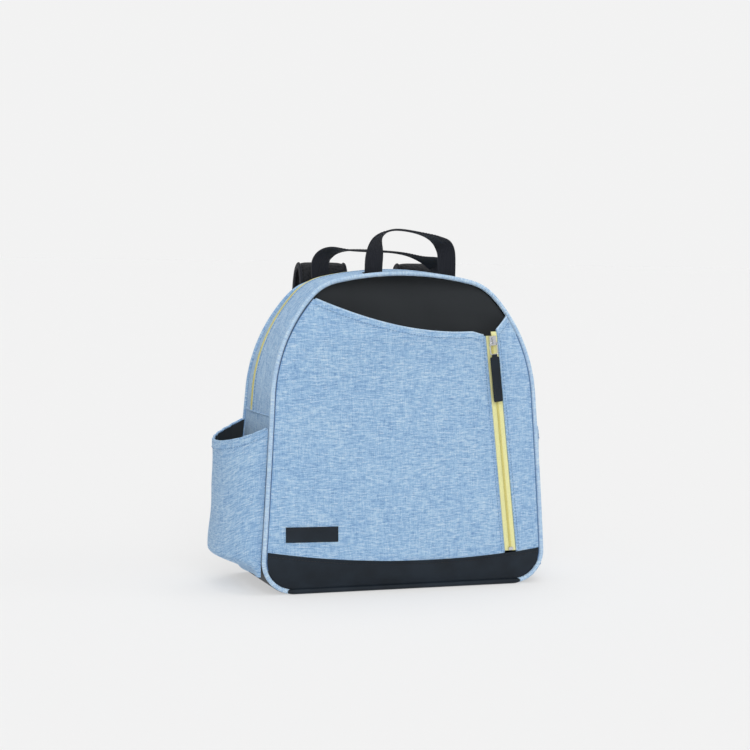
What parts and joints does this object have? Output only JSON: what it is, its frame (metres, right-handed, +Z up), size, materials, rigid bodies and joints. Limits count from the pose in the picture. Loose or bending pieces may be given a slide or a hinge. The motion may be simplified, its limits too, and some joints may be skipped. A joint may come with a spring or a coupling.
{
  "type": "racket backpack",
  "caption": "Upright fabric backpack with an open front racket pocket beside a short zip, a main compartment, side bottle pockets, grab handles and padded shoulder straps.",
  "frame": {"origin": "centre of the flat underside of the base", "axes": "+Z up, the front with the racket pocket faces -Y, +X to the right of someone who faces the front"},
  "size_m": [0.4369, 0.2211, 0.4565],
  "materials": {
    "blue_fabric": "heathered light blue plain weave with slubs, matte",
    "black_leather": "smooth blue-black synthetic leather, soft sheen",
    "pebbled_leather": "pebbled black synthetic leather, semi-gloss",
    "zip_yellow": "pale lemon woven zip tape and coil",
    "slider_metal": "nickel plated, polished",
    "webbing_navy": "ribbed navy-black webbing",
    "black_mesh": "black spacer mesh over foam",
    "black_lining": "black woven lining",
    "black_plastic": "black moulded plastic"
  },
  "bodies": {
    "bag": {"back_pad": "black_mesh", "back_panel": "black_lining", "back_sheet": "black_plastic", "base_board": "black_plastic", "base_gusset": "black_leather", "blank_badge": "black_leather", "bottle_pocket_left": "blue_fabric", "bottle_pocket_right": "blue_fabric", "front_band": "black_leather", "front_gusset": "blue_fabric", "front_panel_left": "blue_fabric", "front_panel_right": "blue_fabric", "front_piping": "blue_fabric", "laptop_sleeve": "black_lining", "lower_webbing_left": "webbing_navy", "lower_webbing_right": "webbing_navy", "main_zip_chain": "zip_yellow", "main_zip_tape_front": "zip_yellow", "main_zip_tape_rear": "zip_yellow", "opening_binding_left": "blue_fabric", "opening_binding_right": "blue_fabric", "pocket_divider": "pebbled_leather", "pocket_hem_left": "blue_fabric", "pocket_hem_right": "blue_fabric", "pocket_zip_chain": "zip_yellow", "pocket_zip_stop": "slider_metal", "pocket_zip_tape_left": "zip_yellow", "pocket_zip_tape_right": "zip_yellow", "rear_gusset": "blue_fabric", "rear_piping": "blue_fabric", "side_panel_left": "blue_fabric", "side_panel_right": "blue_fabric", "strap_wing_left": "webbing_navy", "strap_wing_right": "webbing_navy", "strap_yoke": "black_leather"},
    "pocket_slider": {"pocket_slider": "slider_metal"},
    "pocket_puller": {"pocket_puller": "slider_metal"},
    "pocket_pull_tab": {"pocket_pull_tab": "black_leather"},
    "main_slider": {"main_slider": "slider_metal"},
    "main_puller": {"main_puller": "slider_metal"},
    "main_pull_tab": {"main_pull_tab": "black_leather"},
    "front_handle": {"front_handle": "webbing_navy"},
    "rear_handle": {"rear_handle": "webbing_navy"},
    "strap_left": {"shoulder_strap_left": "black_mesh", "ladder_lock_left": "black_plastic"},
    "strap_right": {"shoulder_strap_right": "black_mesh", "ladder_lock_right": "black_plastic"}
  },
  "joints": [
    {"name": "pocket_zip_slide", "type": "slide", "parent": "bag", "child": "pocket_slider", "axis": [0.1143, 0, -0.9935], "range_m": [0, 0.259]},
    {"name": "pocket_puller_swing", "type": "hinge", "parent": "pocket_slider", "child": "pocket_puller", "pos_m": [0.10992, -0.09565, 0.31401], "axis": [-0.9935, 0, -0.1143], "range_deg": [0, 150]},
    {"name": "pocket_tab_swing", "type": "hinge", "parent": "pocket_puller", "child": "pocket_pull_tab", "pos_m": [0.11169, -0.09565, 0.29861], "axis": [-0.9935, 0, -0.1143], "range_deg": [0, 30]},
    {"name": "main_zip_slide", "type": "hinge", "parent": "bag", "child": "main_slider", "pos_m": [-0.02582, 0.01231, 0.23541], "axis": [-0.0164, -0.9995, -0.0286], "range_deg": [0, 26.5]},
    {"name": "main_puller_swing", "type": "hinge", "parent": "main_slider", "child": "main_puller", "pos_m": [0.17785, 0.00765, 0.28401], "axis": [0, -1, 0], "range_deg": [0, 150]},
    {"name": "main_tab_swing", "type": "hinge", "parent": "main_puller", "child": "main_pull_tab", "pos_m": [0.1816, 0.00765, 0.26897], "axis": [0, -1, 0], "range_deg": [0, 30]},
    {"name": "front_handle_fold", "type": "hinge", "parent": "bag", "child": "front_handle", "pos_m": [0.014, -0.045, 0.39948], "axis": [1, 0, 0], "range_deg": [-25, 38], "stiffness_Nm_per_rad": 0.03},
    {"name": "rear_handle_fold", "type": "hinge", "parent": "bag", "child": "rear_handle", "pos_m": [0.001, 0.034, 0.393], "axis": [1, 0, 0], "range_deg": [-15, 40], "stiffness_Nm_per_rad": 0.03},
    {"name": "strap_left_swing", "type": "hinge", "parent": "bag", "child": "strap_left", "pos_m": [-0.069, 0.064, 0.402], "axis": [1, 0, 0], "range_deg": [0, 35], "deforming": ["lower_webbing_left"]},
    {"name": "strap_right_swing", "type": "hinge", "parent": "bag", "child": "strap_right", "pos_m": [0.069, 0.064, 0.402], "axis": [1, 0, 0], "range_deg": [0, 35], "deforming": ["lower_webbing_right"]}
  ]
}
